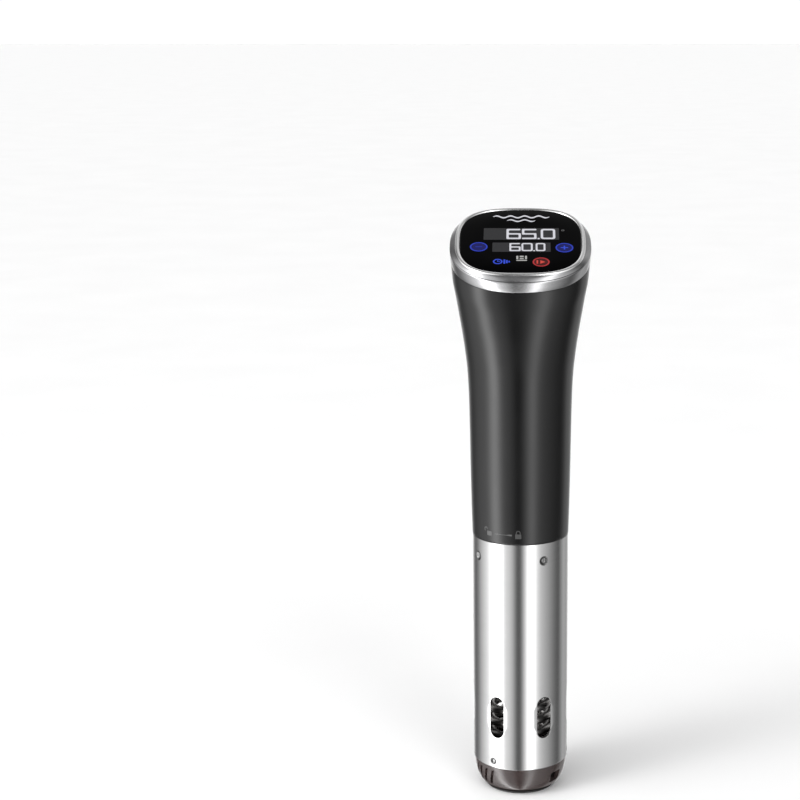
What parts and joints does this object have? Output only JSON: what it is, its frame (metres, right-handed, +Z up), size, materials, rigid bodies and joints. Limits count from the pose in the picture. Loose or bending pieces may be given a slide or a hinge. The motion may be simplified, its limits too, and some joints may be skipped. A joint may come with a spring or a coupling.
{
  "type": "sous vide circulator",
  "caption": "Hand-held immersion cooker: black flared handle with tilted touch display, slotted steel sleeve, smoked pump cap and sprung rear pot clip.",
  "frame": {"origin": "centre of the foot pad's underside, where the circulator stands", "axes": "+Z up along the tube, -Y towards the display side, +X to the viewer's right"},
  "size_m": [0.0864, 0.0871, 0.3677],
  "materials": {
    "handle_plastic": "satin charcoal black moulding",
    "bezel_metal": "satin plated ring with a polished rim",
    "black_glass": "gloss black printed glass",
    "circuit_board": "green solder resist",
    "display_module": "dark grey display window",
    "black_rubber": "matt black rubber",
    "zinc_steel": "zinc plated",
    "black_plastic": "fine matt moulding",
    "component_plastic": "moulded component bodies",
    "raw_aluminium": "extruded",
    "grey_plastic": "glass filled grey moulding",
    "polished_steel": "polished stainless",
    "bush_plastic": "natural PTFE",
    "magnet_ferrite": "dull ferrite and laminations",
    "heater_steel": "drawn tube, slightly heat tinted",
    "brass_fitting": "turned brass",
    "silicone_rubber": "red-brown silicone",
    "brushed_sleeve": "brushed round the tube",
    "smoked_plastic": "smoked brown, see-through"
  },
  "bodies": {
    "housing": {"handle_shell": "handle_plastic", "bezel_ring": "bezel_metal", "display_glass": "black_glass", "control_board": "circuit_board", "upper_led_display": "display_module", "lower_led_display": "display_module", "touch_sense_pads": "black_rubber", "control_board_screws": "zinc_steel", "buzzer": "black_plastic", "power_board": "circuit_board", "transformer": "component_plastic", "capacitors": "component_plastic", "heat_sink": "raw_aluminium", "heater_triac": "black_plastic", "cord_gland": "black_plastic", "gland_nut": "black_plastic", "bulkhead": "grey_plastic", "bulkhead_screws": "zinc_steel", "sleeve_o_ring": "black_rubber", "shaft_tube": "polished_steel", "lower_bush": "bush_plastic", "upper_bearing": "polished_steel", "shaft_seal": "black_rubber", "motor_can": "zinc_steel", "motor_magnets": "magnet_ferrite", "motor_plate": "zinc_steel", "motor_plate_screws": "zinc_steel", "motor_screws": "zinc_steel", "heater_coil": "heater_steel", "heater_nuts": "brass_fitting", "heater_stay": "polished_steel", "temperature_probe": "polished_steel", "level_probes": "polished_steel", "probe_grommets": "silicone_rubber", "clip_bracket": "black_plastic", "clip_pin": "polished_steel", "clip_spring": "polished_steel", "clip_screws": "zinc_steel"},
    "sleeve": {"steel_sleeve": "brushed_sleeve"},
    "cap": {"pump_cap": "smoked_plastic", "foot_pad": "black_rubber"},
    "rotor": {"motor_armature": "magnet_ferrite", "motor_shaft": "polished_steel", "cooling_fan": "black_plastic", "shaft_coupling": "brass_fitting", "coupling_grub_screws": "zinc_steel", "drive_shaft": "polished_steel", "impeller": "grey_plastic", "impeller_nut": "zinc_steel"},
    "clip": {"clip_lever": "black_plastic", "clip_pad": "black_rubber"}
  },
  "joints": [
    {"name": "sleeve_twist", "type": "hinge", "parent": "housing", "child": "sleeve", "pos_m": [0, 0, 0.156], "axis": [0, 0, 1], "range_deg": [-36, 0]},
    {"name": "cap_twist", "type": "hinge", "parent": "sleeve", "child": "cap", "pos_m": [0, 0, 0.0232], "axis": [0, 0, 1], "range_deg": [0, 20]},
    {"name": "rotor_spin", "type": "hinge", "parent": "housing", "child": "rotor", "pos_m": [0, 0, 0.1], "axis": [0, 0, 1], "continuous": true},
    {"name": "clip_open", "type": "hinge", "parent": "housing", "child": "clip", "pos_m": [0, 0.041, 0.2], "axis": [1, 0, 0], "range_deg": [0, 18], "stiffness_Nm_per_rad": 0.5, "springref_deg": -20.05, "deforming": ["clip_spring"]}
  ]
}
